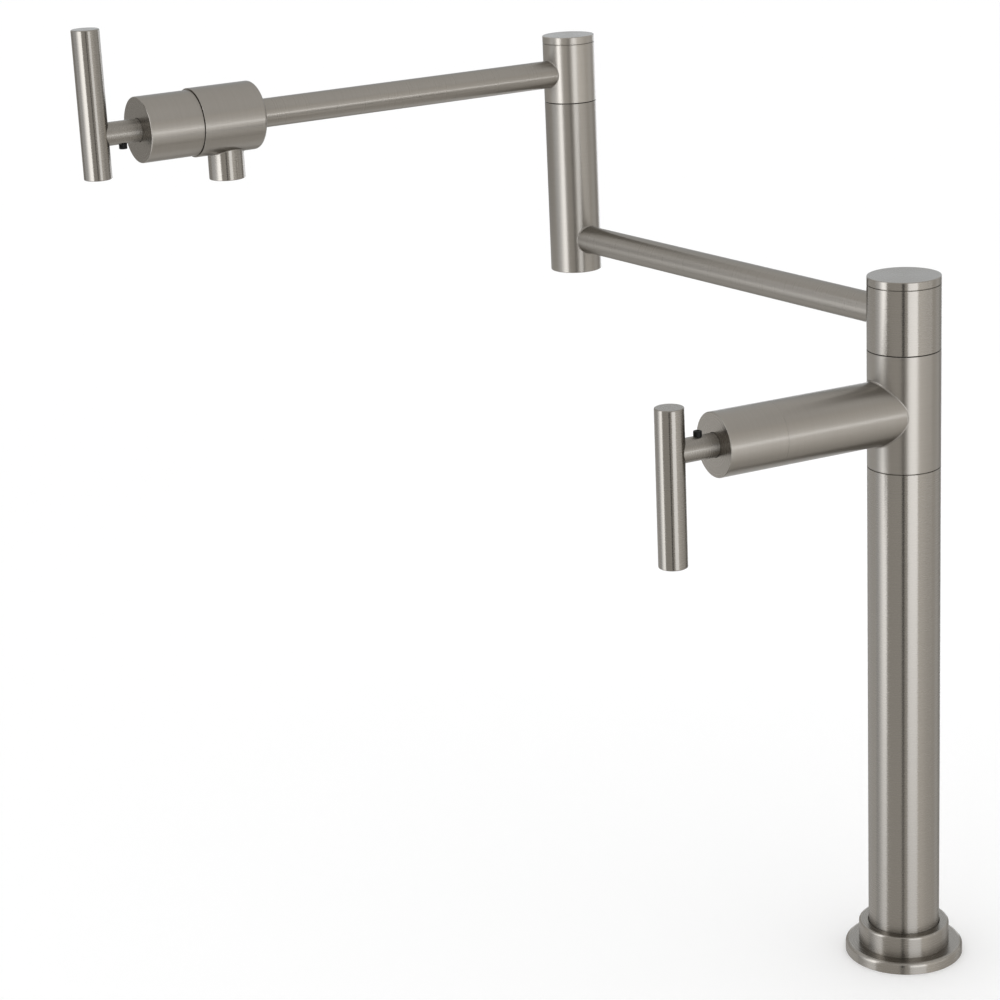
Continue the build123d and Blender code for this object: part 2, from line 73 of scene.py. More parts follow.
# Directions seen from above, in degrees from +X
SIDE_ANGLE, LOWER_ANGLE, UPPER_ANGLE = 180.0, 96.9, 184.9

# Walls, depths, lengths and clearances
COLUMN_WALL, ARM_WALL, SLEEVE_WALL, CAP_SPIGOT_WALL, BONNET_WALL = 1.5, 1.2, 3.5, 1.8, 4.0
CHAMBER_LENGTH, BONNET_THREAD_LENGTH, CARTRIDGE_FLANGE = 28.3, 8.0, 3.0
POST_FOOT_STEP, POST_FOOT_LENGTH, ARM_SOCKET_STEP, SPOUT_SOCKET_DEPTH = 1.5, 16.0, 2.5, 4.5
THRUST_WASHER, THRUST_WASHER_INSET, BEARING_RISE = 1.0, 2.0, 10.0
CAP_HEIGHT, CAP_SPIGOT_LENGTH = 4.4, 3.0
NOZZLE_DROP, MOUTH_DEPTH, STRAIGHTENER_HEIGHT = 32.5, 3.0, 5.0
LEVER_STANDOFF, LEVER_EDGE, BOSS_EDGE, SPOUT_BACK_ROUND = 25.0, 0.6, 1.2, 2.0
FIT_GAP, WASHER_GAP, SHANK_HOLE_GAP, SEAM_GAP, SEAM_DEPTH = 0.05, 0.3, 0.6, 0.4, 0.8

# Sizes of the looks alone: the flange's disc, narrow gaps, plain stems and fillets
DISC_TOP, DISC_ROUND = 6.2, 2.1
BOSS_GAP, STEM_HOLE_GAP, SPOUT_SEAM, TEE_SHOULDER_R = 0.2, 0.2, 0.22, 17.9
STEM_BACK, STEM_TIP = 36.35, 3.4
TEE_FILLET, ARM_FILLET, NOZZLE_FILLET, STEM_FILLET = 1.2, 0.8, 0.7, 0.35

# Segments round a piece, tolerances, millimetres to one unit of U, and U from row to row
WIDE_AROUND, SLIM_AROUND = 144, 96
ON_AXIS, STRAIGHT, PARALLEL, SQUARE = 1e-6, 0.01, 1e-4, 0.99
U_LENGTH, THREAD_U, FILLET_U = 10, 0.1, 0.02

UP = Vector((0, 0, 1))


# Frames: local Z is the axis that a piece is turned about

def upright(centre=(0.0, 0.0)):
    return Matrix.Translation(Vector((centre[0], centre[1], 0)))


def outward(angle, height, centre=(0.0, 0.0)):
    """Frame on a level axis that points away from the centre, with X up."""
    way = Vector((cos(radians(angle)), sin(radians(angle)), 0))
    axes = Matrix((UP, way.cross(UP), way)).transposed().to_4x4()
    return Matrix.Translation(Vector((centre[0], centre[1], height))) @ axes


def crosswise(base, distance, up=1):
    """Frame at a distance along base's Z, its own Z along base's X, or against it at -1.

    X is up in an outward frame, so Z then points up or down.
    """
    centre = base @ Vector((0, 0, distance))
    axes = base.to_3x3() @ Matrix.Rotation(radians(90 * up), 3, "Y")
    return Matrix.Translation(centre) @ axes.to_4x4()


ELBOW = (LOWER_REACH * cos(radians(LOWER_ANGLE)), LOWER_REACH * sin(radians(LOWER_ANGLE)))
COLUMN = upright()
ELBOW_AXIS = upright(ELBOW)
SIDE = outward(SIDE_ANGLE, SIDE_Z)
LOWER = outward(LOWER_ANGLE, LOWER_Z)
LOWER_BACK = outward(LOWER_ANGLE + 180, LOWER_Z, ELBOW)
UPPER = outward(UPPER_ANGLE, UPPER_Z, ELBOW)


# Turned outlines

def stations(corners, closed, steps=6):
    """Points of an outline with its corners rounded, each with the normals before and after it."""
    count = len(corners)
    ways = []
    for i in range(count if closed else count - 1):
        a, b = corners[i], corners[(i + 1) % count]
        length = dist(a[:2], b[:2])
        ways.append(((b[0] - a[0]) / length, (b[1] - a[1]) / length))
    found = []
    for i, (r, z, *rounded) in enumerate(corners):
        before = ways[i - 1] if closed or i else ways[0]
        after = ways[i] if closed or i < count - 1 else ways[-1]
        n0, n1 = (before[1], -before[0]), (after[1], -after[0])
        bend = acos(max(-1, min(1, before[0] * after[0] + before[1] * after[1])))
        if not rounded or bend < STRAIGHT:
            found.append((r, z, n0, n1))
            continue
        edge = rounded[0]
        back = edge * tan(bend / 2)
        sign = 1 if before[0] * after[1] > before[1] * after[0] else -1
        start = (r - before[0] * back, z - before[1] * back)
        centre = (start[0] - sign * n0[0] * edge, start[1] - sign * n0[1] * edge)
        for k in range(steps + 1):
            a = sign * bend * k / steps
            n = (n0[0] * cos(a) - n0[1] * sin(a), n0[0] * sin(a) + n0[1] * cos(a))
            found.append((centre[0] + sign * n[0] * edge, centre[1] + sign * n[1] * edge, n, n))
    return found


def clamp(*values):
    return max(0.0, min(1.0, *values))


class Shell:
    """Vertices, faces, face-corner normals and UVs collected for one object.

    Faces square to the axis of a turned piece are noted as flat, for the finish of a faced end.
    U runs along a turned outline in centimetres, and V is the angle round the axis.
    """

    def __init__(self):
        self.points, self.faces, self.normals, self.uvs, self.flat = [], [], [], [], []

    def point(self, spot):
        """Adds a vertex, given in millimetres, and returns its number."""
        self.points.append(spot * MM)
        return len(self.points) - 1

    def face(self, corners, normals, uvs, flat=False):
        self.faces.append(corners)
        self.normals.extend(normals)
        self.uvs.extend(uvs)
        self.flat.append(flat)

    def turn(self, place, corners, closed=True, around=WIDE_AROUND):
        """Adds an outline turned about the place's Z axis."""
        line = stations(corners, closed)
        rotate = place.to_3x3()
        runs = [0.0]
        for a, b in zip(line, line[1:] + line[:1]):
            runs.append(runs[-1] + dist(a[:2], b[:2]))
        angles = [2 * pi * j / around for j in range(around + 1)]
        rows = []
        for r, z, _, _ in line:
            if r < ON_AXIS:
                rows.append([self.point(place @ Vector((0, 0, z)))] * (around + 1))
                continue
            row = [self.point(place @ Vector((r * cos(a), r * sin(a), z))) for a in angles[:-1]]
            rows.append(row + row[:1])
        for i in range(len(line) if closed else len(line) - 1):
            k = (i + 1) % len(line)
            low, high = rows[i], rows[k]
            n_low, n_high = line[i][3], line[k][2]
            u_low, u_high = runs[i] / U_LENGTH, runs[i + 1] / U_LENGTH
            flat = min(abs(n_low[1]), abs(n_high[1])) > SQUARE
            for j in range(around):
                a, b = angles[j], angles[j + 1]
                quad = [
                    (low[j], n_low, a, u_low), (low[j + 1], n_low, b, u_low),
                    (high[j + 1], n_high, b, u_high), (high[j], n_high, a, u_high),
                ]
                if low[j] == low[j + 1]:
                    quad.pop(1)
                if high[j] == high[j + 1]:
                    quad.pop(2)
                if len(quad) < 3:
                    continue
                self.face(
                    [number for number, _, _, _ in quad],
                    [rotate @ Vector((n[0] * cos(t), n[0] * sin(t), n[1])) for _, n, t, _ in quad],
                    [(u, t) for _, _, t, u in quad],
                    flat,
                )
        return self

    def thread(self, place, radius, low, high, pitch, depth, around=SLIM_AROUND, steps=8):
        """Adds a screw thread with its crests on the radius, running out flush at both ends."""
        rotate = place.to_3x3()
        count = ceil((high - low) / pitch * steps)
        steepness, root_width, nudge = 2.6, 0.15, 0.05

        def reach(z, turned):
            phase = (z / pitch - turned) % 1
            rise = clamp(steepness * abs(phase - 0.5) - root_width)
            full = clamp((z - low) / pitch, (high - z) / pitch)
            return radius - depth * full * (1 - rise)

        rows = []
        for i in range(count + 1):
            z = low + (high - low) * i / count
            row = []
            for j in range(around):
                a, t = 2 * pi * j / around, j / around
                r = reach(z, t)
                slope = (reach(z + nudge, t) - reach(z - nudge, t)) / (2 * nudge)
                normal = (rotate @ Vector((cos(a), sin(a), -slope))).normalized()
                row.append((self.point(place @ Vector((r * cos(a), r * sin(a), z))), normal))
            rows.append(row + row[:1])
        for i in range(count):
            for j in range(around):
                spots = ((i, j), (i, j + 1), (i + 1, j + 1), (i + 1, j))
                corners, normals = zip(*(rows[u][v] for u, v in spots))
                uvs = [(THREAD_U * u, 2 * pi * v / around) for u, v in spots]
                self.face(corners, normals, uvs)
        return self

    def fillet(self, big, small, big_r, small_r, edge, around=WIDE_AROUND, steps=8):
        """Adds the rounded joint where a round bar leaves another at a right angle.

        small is a frame where the two axes cross, and points out along the small bar. Of big,
        only the direction of its axis counts. The joint is a closed ring: the track of a ball of
        the edge radius rolled round the corner, and two sides that meet just inside both bars.
        """
        sunk = 0.2
        away = (small.to_3x3() @ UP).normalized()
        tall = (big.to_3x3() @ UP).normalized()
        wide = tall.cross(away)
        origin = small.translation
        rows = []
        for j in range(around):
            a = 2 * pi * j / around
            y, z = (small_r + edge) * sin(a), (small_r + edge) * cos(a)
            x = sqrt((big_r + edge) ** 2 - y * y)
            centre = away * x + wide * y + tall * z
            on_big = (away * x + wide * y).normalized() * big_r + tall * z
            on_small = away * x + (wide * y + tall * z) * (small_r / (small_r + edge))
            n0, n1 = (centre - on_big).normalized(), (centre - on_small).normalized()
            spread = n0.angle(n1, 0.0)
            row = []
            for k in range(steps + 1):
                n = n0
                if spread > PARALLEL:
                    a0, a1 = spread * (1 - k / steps), spread * k / steps
                    n = (n0 * sin(a0) + n1 * sin(a1)) / sin(spread)
                row.append([self.point(origin + centre - n * edge), n, n])
            row[-1][2] = -n1
            y, z = (small_r - sunk) * sin(a), (small_r - sunk) * cos(a)
            x = sqrt(big_r ** 2 - y ** 2) - sunk
            root = self.point(origin + away * x + wide * y + tall * z)
            rows.append(row + [[root, -n1, -n0], [row[0][0], -n0, n0]])
        for j in range(around):
            row, after = rows[j], rows[(j + 1) % around]
            for i in range(steps + 2):
                ring = (row[i], row[i + 1], after[i + 1], after[i])
                corners = [spot[0] for spot in ring]
                normals = [row[i][2], row[i + 1][1], after[i + 1][1], after[i][2]]
                u0, u1 = FILLET_U * i, FILLET_U * (i + 1)
                uvs = [(u0, j), (u1, j), (u1, j + 1), (u0, j + 1)]
                first, second, _, last = (self.points[c] for c in corners)
                if (second - first).cross(last - first).dot(normals[0]) < 0:
                    corners, normals, uvs = corners[::-1], normals[::-1], uvs[::-1]
                self.face(corners, normals, uvs)
        return self

    def build(self, name):
        """Makes the object, with material 1 on its flat faces."""
        mesh = bpy.data.meshes.new(name)
        mesh.from_pydata(self.points, [], self.faces)
        layer = mesh.uv_layers.new(name="UVMap")
        layer.data.foreach_set("uv", [x for uv in self.uvs for x in uv])
        mesh.shade_smooth()
        mesh.polygons.foreach_set("material_index", [int(flat) for flat in self.flat])
        mesh.normals_split_custom_set(self.normals)
        obj = bpy.data.objects.new(name, mesh)
        bpy.context.scene.collection.objects.link(obj)
        return obj


# Materials

MOST_OF_NOISE = (0.3, 0.7)
WHITE = (1, 1, 1)


def rgba(colour):
    return (*colour, 1)


def grey(value):
    return (value, value, value)


class Nodes:
    """A material's node tree and its Principled shader."""

    def __init__(self, name):
        self.material = bpy.data.materials.new(name)
        self.material.use_nodes = True
        self.tree = self.material.node_tree
        self.shader = self.tree.nodes["Principled BSDF"]

    def add(self, kind, values=None, **settings):
        """Adds a node with its settings, and plain values or links for its inputs."""
        node = self.tree.nodes.new(kind)
        for key, value in settings.items():
            setattr(node, key, value)
        for key, value in (values or {}).items():
            self.feed(value, node.inputs[key])
        return node

    def feed(self, value, socket):
        """Links an output into a socket, or sets the socket to a plain value."""
        if isinstance(value, bpy.types.NodeSocket):
            self.tree.links.new(value, socket)
        else:
            socket.default_value = value

    def shade(self, values):
        for key, value in values.items():
            self.feed(value, self.shader.inputs[key])

    def coordinates(self, kind):
        return self.add("ShaderNodeTexCoord").outputs[kind]

    def split(self, vector):
        return self.add("ShaderNodeSeparateXYZ", {"Vector": vector}).outputs

    def math(self, operation, a, b):
        return self.add("ShaderNodeMath", {0: a, 1: b}, operation=operation).outputs[0]

    def weigh(self, a, b, share):
        """Adds share of a to the rest of b."""
        rest = self.math("MULTIPLY", b, 1 - share)
        return self.math("ADD", self.math("MULTIPLY", a, share), rest)

    def noise(self, vector, scale, detail, roughness=0.5):
        values = {"Vector": vector, "Scale": scale, "Detail": detail, "Roughness": roughness}
        return self.add("ShaderNodeTexNoise", values).outputs["Fac"]

    def remap(self, value, low, high, span=MOST_OF_NOISE):
        """Spreads a value that lies within span from low to high."""
        ends = {"From Min": span[0], "From Max": span[1], "To Min": low, "To Max": high}
        return self.add("ShaderNodeMapRange", {"Value": value, **ends}).outputs["Result"]

    def mix(self, factor, first, second, blend="MIX"):
        """A colour made from two, each an output or an RGBA value."""
        node = self.add("ShaderNodeMix", {"Factor": factor}, data_type="RGBA", blend_type=blend)
        colours = [socket for socket in node.inputs if socket.type == "RGBA"]
        self.feed(first, colours[0])
        self.feed(second, colours[1])
        return next(socket for socket in node.outputs if socket.type == "RGBA")

    def bump(self, height, distance, strength):
        values = {"Height": height, "Distance": distance, "Strength": strength}
        self.shade({"Normal": self.add("ShaderNodeBump", values).outputs["Normal"]})

    def curve(self, value, points):
        """A value that follows straight lines between (value, result) points."""
        top = max(result for _, result in points)
        ramp = self.add("ShaderNodeFloatCurve", {"Value": value})
        line = ramp.mapping.curves[0]
        while len(line.points) < len(points):
            line.points.new(0.5, 0.5)
        for spot, (x, result) in zip(line.points, points):
            spot.location = (x, result / top)
            spot.handle_type = "VECTOR"
        ramp.mapping.update()
        return self.math("MULTIPLY", ramp.outputs[0], top)


def groove_noise(nodes, along, across, detail, roughness):
    """Noise drawn out round the piece, along its scratches.

    along counts lines per centimetre of outline, and across their changes per metre round it.
    """
    line = nodes.split(nodes.coordinates("UV"))["X"]
    x, y, z = nodes.split(nodes.coordinates("Object"))
    lean = nodes.math("MULTIPLY", z, 0.7)
    vector = nodes.add("ShaderNodeCombineXYZ", {
        "X": nodes.math("MULTIPLY", line, along),
        "Y": nodes.math("MULTIPLY", nodes.math("ADD", x, lean), across),
        "Z": nodes.math("MULTIPLY", nodes.math("SUBTRACT", y, lean), across),
    })
    return nodes.noise(vector.outputs[0], 1.0, detail, roughness)


NICKEL = (0.274, 0.254, 0.226)
COOLED = (0.97, 0.985, 1.0)


def nickel(name, roughness, anisotropy, tone=1.0, grain=1.0, edge=0.8):
    """Brushed nickel plate with its scratches round the piece.

    tone scales its colour, which paints light in: below 1 a darker copy is painted shade, above
    1 a lighter copy is painted sheen. grain scales the depth of its scratches, and edge darkens
    glancing views.
    """
    nodes = Nodes(name)
    fine = groove_noise(nodes, along=70.0, across=60.0, detail=4.0, roughness=0.7)
    coarse = groove_noise(nodes, along=9.0, across=35.0, detail=2.0, roughness=0.5)
    lines = nodes.weigh(fine, coarse, 0.6)
    contrast, unevenness = 0.05 * grain, 0.08 * grain
    dark = rgba(tone * c * (1 - contrast) for c in NICKEL)
    light = rgba(tone * c * (1 + contrast) for c in NICKEL)
    streaks = nodes.mix(nodes.remap(lines, 0, 1), dark, light)
    cloud = nodes.noise(nodes.coordinates("Object"), scale=28.0, detail=2.0)
    patches = nodes.mix(nodes.remap(cloud, 0, 0.35, (0.35, 0.75)), rgba(WHITE), rgba(COOLED))
    tangent = nodes.add("ShaderNodeTangent", direction_type="UV_MAP", uv_map="UVMap")
    nodes.shade({
        "Base Color": nodes.mix(1.0, streaks, patches, "MULTIPLY"),
        "Metallic": 1.0,
        "Roughness": nodes.remap(lines, roughness * (1 - unevenness), roughness * (1 + unevenness)),
        "Anisotropic": anisotropy,
        "Tangent": tangent.outputs[0],
        "Specular Tint": rgba(grey(edge)),
    })
    nodes.bump(lines, distance=0.0000015 * grain, strength=0.5)
    return nodes.material


def plain(name, dark, light, roughness, metallic=0.0, scale=400.0, specular=0.5):
    """A finish with a fine mottle: two near colours, uneven gloss and a slight bump."""
    nodes = Nodes(name)
    place = nodes.coordinates("Object")
    fine = nodes.noise(place, scale, detail=4.0, roughness=0.6)
    broad = nodes.noise(place, scale / 9, detail=2.0)
    mottle = nodes.weigh(fine, broad, 0.6)
    nodes.shade({
        "Base Color": nodes.mix(nodes.remap(mottle, 0, 1), rgba(dark), rgba(light)),
        "Metallic": metallic,
        "Roughness": nodes.remap(mottle, roughness * 0.85, roughness * 1.15),
        "Specular IOR Level": specular,
    })
    nodes.bump(mottle, distance=0.00002, strength=0.6)
    return nodes.material


TURNED = nickel("nickel_turned", roughness=0.27, anisotropy=1.0, grain=0.5)
# Painted shade: the handles' stems and levers take the turned nickel darkened to 0.91, to dim their
# highlights
HANDLE_PAINTED_SHADE = nickel("nickel_handle_painted_shade", roughness=0.27, anisotropy=1.0, tone=0.91, grain=0.5)
DRAWN = nickel("nickel_drawn", roughness=0.28, anisotropy=0.95, grain=0.5, edge=0.65)
FINE = nickel("nickel_fine", roughness=0.31, anisotropy=0.88, grain=0.8, edge=0.65)
SATIN = nickel("nickel_satin", roughness=0.34, anisotropy=0.78, grain=0.8)
# Painted sheen: the elbow sleeve and its cap take the nickel lightened to 1.22 for a brighter
# sheen; their softer gloss is the finish's own
SLEEVE_PAINTED_SHEEN = nickel("nickel_sleeve_painted_sheen", roughness=0.36, anisotropy=0.76, tone=1.22, grain=0.6)
# Painted shade: the joint fillets take the nickel darkened to 0.85, to dim the highlight along each
# joint
FILLET_PAINTED_SHADE = nickel("nickel_joint_painted_shade", roughness=0.42, anisotropy=0.2, tone=0.85, grain=0.5)
FACED = nickel("nickel_faced", roughness=0.27, anisotropy=0.25, grain=0.6)
# Painted shade: the deck flange's flat faces take the faced nickel darkened to 0.80, standing in
# for the column's dark reflection in them
FLANGE_PAINTED_SHADE = nickel("nickel_flange_painted_shade", roughness=0.27, anisotropy=0.25, tone=0.80, grain=0.6)
BRASS = plain("brass_turned", (0.60, 0.43, 0.17), (0.74, 0.56, 0.27), 0.32, metallic=1.0,
              scale=500.0)
CARRIED = {
    "brushed_nickel": TURNED,
    "brass": BRASS,
    "plain_steel": plain("steel_plain", grey(0.50), grey(0.62), 0.30, metallic=1.0, scale=600.0),
    "black_steel": plain("black_oxide", grey(0.004), grey(0.008), 0.6, scale=900.0, specular=0.2),
    "rubber": plain("rubber_black", grey(0.018), grey(0.032), 0.72, scale=700.0),
    "dark_polymer": plain("bearing_plastic", (0.020, 0.019, 0.018), (0.040, 0.038, 0.036), 0.55,
                          scale=500.0),
    "white_polymer": plain("white_acetal", (0.78, 0.78, 0.76), (0.86, 0.86, 0.84), 0.40),
    "ceramic": plain("alumina", (0.84, 0.82, 0.77), (0.92, 0.91, 0.87), 0.18, scale=300.0),
}


def put(shell, name, body, material, nodes=(), faced=FACED):
    """Places a finished shell on its body, over the CAD nodes that it stands for."""
    piece = shell.build(name)
    piece.data.materials.append(material)
    if any(shell.flat):
        piece.data.materials.append(faced)
    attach(piece, body)
    if nodes:
        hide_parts(*nodes)
    return piece


def put_fillet(name, body, big, small, big_r, small_r, edge, around=WIDE_AROUND):
    put(Shell().fillet(big, small, big_r, small_r, edge, around), name, body, FILLET_PAINTED_SHADE)


# Deck flange and column

shank_hole_r = SHANK_R + SHANK_HOLE_GAP
column_pocket_r = COLUMN_R + BOSS_GAP
groove_inner_r, groove_outer_r = GASKET_INNER_R - FIT_GAP, GASKET_OUTER_R + FIT_GAP
groove_top = GASKET_THICKNESS + FIT_GAP
# The flange's flat faces carry painted shade: a darker copy of the faced nickel
put(Shell().turn(COLUMN, [
    (shank_hole_r, 0), (groove_inner_r, 0), (groove_inner_r, groove_top),
    (groove_outer_r, groove_top), (groove_outer_r, 0), (FLANGE_R, 0, 0.25),
    (FLANGE_R, DISC_TOP, DISC_ROUND), (BOSS_R, DISC_TOP), (BOSS_R, BOSS_TOP, BOSS_EDGE),
    (column_pocket_r, BOSS_TOP, 0.3), (column_pocket_r, COLUMN_LOW), (shank_hole_r, COLUMN_LOW),
]), "deck_flange_turned", "base", TURNED, ["deck_flange"], faced=FLANGE_PAINTED_SHADE)
column_bore_r = COLUMN_R - COLUMN_WALL
put(Shell().turn(COLUMN, [
    (column_bore_r, COLUMN_LOW), (COLUMN_R, COLUMN_LOW, 0.4), (COLUMN_R, COLUMN_TOP, 0.15),
    (column_bore_r, COLUMN_TOP),
]), "column_tube_turned", "base", TURNED, ["column_tube"])

# Shank: plain ends and collars, with a thread on each of its two diameters

hose_thread_low, hose_thread_high = HOSE_LOW + 1, SHANK_LOW - 2
shank_thread_low, shank_thread_high = SHANK_LOW + 1, -5
shank = Shell()
shank.turn(COLUMN, [
    (SHANK_BORE_R, SPIGOT_TOP), (SHANK_BORE_R, HOSE_LOW), (HOSE_R, HOSE_LOW, 0.3),
    (HOSE_R, hose_thread_low),
], closed=False, around=SLIM_AROUND)
shank.thread(COLUMN, HOSE_R, hose_thread_low, hose_thread_high, pitch=1.8, depth=0.9)
shank.turn(COLUMN, [
    (HOSE_R, hose_thread_high), (HOSE_R, SHANK_LOW), (SHANK_R, SHANK_LOW, 0.5),
    (SHANK_R, shank_thread_low),
], closed=False, around=SLIM_AROUND)
shank.thread(COLUMN, SHANK_R, shank_thread_low, shank_thread_high, pitch=2.0, depth=1.0)
shank.turn(COLUMN, [
    (SHANK_R, shank_thread_high), (SHANK_R, COLUMN_LOW), (SPIGOT_R, COLUMN_LOW),
    (SPIGOT_R, SPIGOT_TOP, 0.4), (SHANK_BORE_R, SPIGOT_TOP),
], closed=False, around=SLIM_AROUND)
put(shank, "shank_threaded", "base", BRASS, ["mounting_shank"], faced=BRASS)


# Tee with the side valve's arm

def chamber(joint):
    """Outline of a valve body's front: the neck under its bonnet, and the chamber inside."""
    front, floor = joint + BONNET_THREAD_LENGTH, joint - CHAMBER_LENGTH
    return [
        (BONNET_THREAD_R, joint), (BONNET_THREAD_R, front, 0.3), (CHAMBER_R, front),
        (CHAMBER_R, floor),
    ]


tee_bore_r = COLUMN_POST_R + POST_FOOT_STEP + FIT_GAP
tee_spigot_r = column_bore_r - FIT_GAP
tee_foot = COLUMN_TOP + SEAM_GAP
side_arm_root = 10
put(Shell().turn(COLUMN, [
    (tee_bore_r, TEE_LOW), (tee_spigot_r, TEE_LOW, 0.3), (tee_spigot_r, COLUMN_TOP),
    (TEE_SHOULDER_R, COLUMN_TOP), (TEE_SHOULDER_R, tee_foot), (COLUMN_R, tee_foot, 0.2),
    (COLUMN_R, TEE_TOP, 0.2), (tee_bore_r, TEE_TOP),
]), "tee_upright", "base", SATIN, ["tee_body"])
put(Shell().turn(SIDE, [
    (0, side_arm_root), (SIDE_R, side_arm_root), (SIDE_R, SIDE_JOINT, 0.12),
    *chamber(SIDE_JOINT), (0, SIDE_JOINT - CHAMBER_LENGTH),
], closed=False), "tee_side_arm", "base", SATIN)
put_fillet("tee_joint", "base", COLUMN, SIDE, COLUMN_R, SIDE_R, TEE_FILLET)


def bonnet(prefix, body, place, radius, joint, front, material, seam=0.0):
    """Cap screwed over a valve's chamber, with the stem's hole in its front wall."""
    thread_r, hole_r = BONNET_THREAD_R + FIT_GAP, STEM_R + STEM_HOLE_GAP
    back, wall = joint + seam, front - BONNET_WALL
    thread_end = joint + BONNET_THREAD_LENGTH + CARTRIDGE_FLANGE + FIT_GAP
    put(Shell().turn(place, [
        (thread_r, back), (radius, back, 0.12), (radius, front, 0.5), (hole_r, front, 0.1),
        (hole_r, wall), (CHAMBER_R, wall), (CHAMBER_R, thread_end), (thread_r, thread_end),
    ]), prefix + "_bonnet_turned", body, material, [prefix + "_bonnet"])


bonnet("side", "base", SIDE, SIDE_R, SIDE_JOINT, SIDE_FRONT, SATIN)
bonnet("spout", "upper_arm", UPPER, BONNET_R, SPOUT_JOINT, SPOUT_FRONT, FINE, SPOUT_SEAM)


# Swivels

def swivel(prefix, body, axis, radius, post_r, seat, top, level, material):
    """Sleeve that turns on a post, from seat to top with its arm at level, and the cap on it."""
    foot = seat + SEAM_GAP
    recess_r = radius - THRUST_WASHER_INSET + WASHER_GAP
    bearing_r, pocket_r = post_r + FIT_GAP, radius - SLEEVE_WALL
    bearing_low, bearing_top = seat + THRUST_WASHER + FIT_GAP, level + BEARING_RISE
    put(Shell().turn(axis, [
        (recess_r, foot), (radius, foot, 0.25), (radius, top, 0.2), (pocket_r, top),
        (pocket_r, bearing_top), (bearing_r, bearing_top), (bearing_r, bearing_low),
        (recess_r, bearing_low),
    ]), prefix + "_sleeve_turned", body, material, [prefix + "_swivel_sleeve"])
    spigot_r = pocket_r - FIT_GAP
    spigot_bore_r, spigot_low = spigot_r - CAP_SPIGOT_WALL, top - CAP_SPIGOT_LENGTH
    seam_r, cap_low, cap_top = radius - SEAM_DEPTH, top + SEAM_GAP, top + CAP_HEIGHT
    put(Shell().turn(axis, [
        (0, top), (spigot_bore_r, top), (spigot_bore_r, spigot_low), (spigot_r, spigot_low),
        (spigot_r, top), (seam_r, top), (seam_r, cap_low), (radius, cap_low, 0.15),
        (radius, cap_top, 0.45), (0, cap_top),
    ], closed=False), prefix + "_cap_turned", body, material, [prefix + "_cap"])


swivel("column", "lower_arm", COLUMN, COLUMN_R, COLUMN_POST_R, seat=TEE_TOP,
       top=COLUMN_SLEEVE_TOP, level=LOWER_Z, material=TURNED)
swivel("elbow", "upper_arm", ELBOW_AXIS, ELBOW_R, ELBOW_POST_R, seat=ELBOW_TOP,
       top=ELBOW_SLEEVE_TOP, level=UPPER_Z, material=SLEEVE_PAINTED_SHEEN)


# Arms and elbow

def arm(body, place, start, end):
    put(Shell().turn(place, [
        (ARM_R - ARM_WALL, start), (ARM_R, start), (ARM_R, end), (ARM_R - ARM_WALL, end),
    ], around=SLIM_AROUND), body + "_drawn", body, DRAWN, [body + "_tube"])


column_socket = COLUMN_POST_R + ARM_SOCKET_STEP + FIT_GAP
elbow_socket = ELBOW_POST_R + ARM_SOCKET_STEP + FIT_GAP
spout_socket = SPOUT_BACK + SPOUT_SOCKET_DEPTH
elbow_bore_r = ELBOW_POST_R + POST_FOOT_STEP + FIT_GAP
elbow_bore_floor = ELBOW_TOP - POST_FOOT_LENGTH
arm("lower_arm", LOWER, column_socket, LOWER_REACH - elbow_socket)
arm("upper_arm", UPPER, elbow_socket, spout_socket - FIT_GAP)
put(Shell().turn(ELBOW_AXIS, [
    (0, ELBOW_LOW), (ELBOW_R, ELBOW_LOW, 0.45), (ELBOW_R, ELBOW_TOP, 0.2),
    (elbow_bore_r, ELBOW_TOP), (elbow_bore_r, elbow_bore_floor), (0, elbow_bore_floor),
], closed=False), "elbow_turned", "lower_arm", SATIN, ["elbow_body"])
put_fillet("lower_arm_root_joint", "lower_arm", COLUMN, LOWER, COLUMN_R, ARM_R, ARM_FILLET)
put_fillet("lower_arm_tip_joint", "lower_arm", ELBOW_AXIS, LOWER_BACK, ELBOW_R, ARM_R, ARM_FILLET)
put_fillet("upper_arm_root_joint", "upper_arm", ELBOW_AXIS, UPPER, ELBOW_R, ARM_R, ARM_FILLET)

# Spout valve and nozzle

arm_hole_r = ARM_R + FIT_GAP
put(Shell().turn(UPPER, [
    (arm_hole_r, SPOUT_BACK), (SPOUT_R, SPOUT_BACK, SPOUT_BACK_ROUND), (SPOUT_R, SPOUT_JOINT, 0.15),
    *chamber(SPOUT_JOINT), (SEAT_PORT_R, SPOUT_JOINT - CHAMBER_LENGTH),
    (SEAT_PORT_R, spout_socket), (arm_hole_r, spout_socket),
]), "spout_valve_turned", "upper_arm", FINE, ["spout_valve_body"])

DOWN = crosswise(UPPER, NOZZLE_REACH, up=-1)
nozzle_root = 14
mouth_floor = NOZZLE_DROP - MOUTH_DEPTH
bore_end = mouth_floor - STRAIGHTENER_HEIGHT
put(Shell().turn(DOWN, [
    (NOZZLE_BORE_R, nozzle_root), (NOZZLE_R, nozzle_root), (NOZZLE_R, NOZZLE_DROP, 0.45),
    (MOUTH_R, NOZZLE_DROP, 0.25), (MOUTH_R, mouth_floor), (STRAIGHTENER_R, mouth_floor),
    (STRAIGHTENER_R, bore_end), (NOZZLE_BORE_R, bore_end),
]), "nozzle_turned", "upper_arm", TURNED, ["nozzle"])
put_fillet("nozzle_joint", "upper_arm", UPPER, DOWN, SPOUT_R, NOZZLE_R, NOZZLE_FILLET)


# Handles

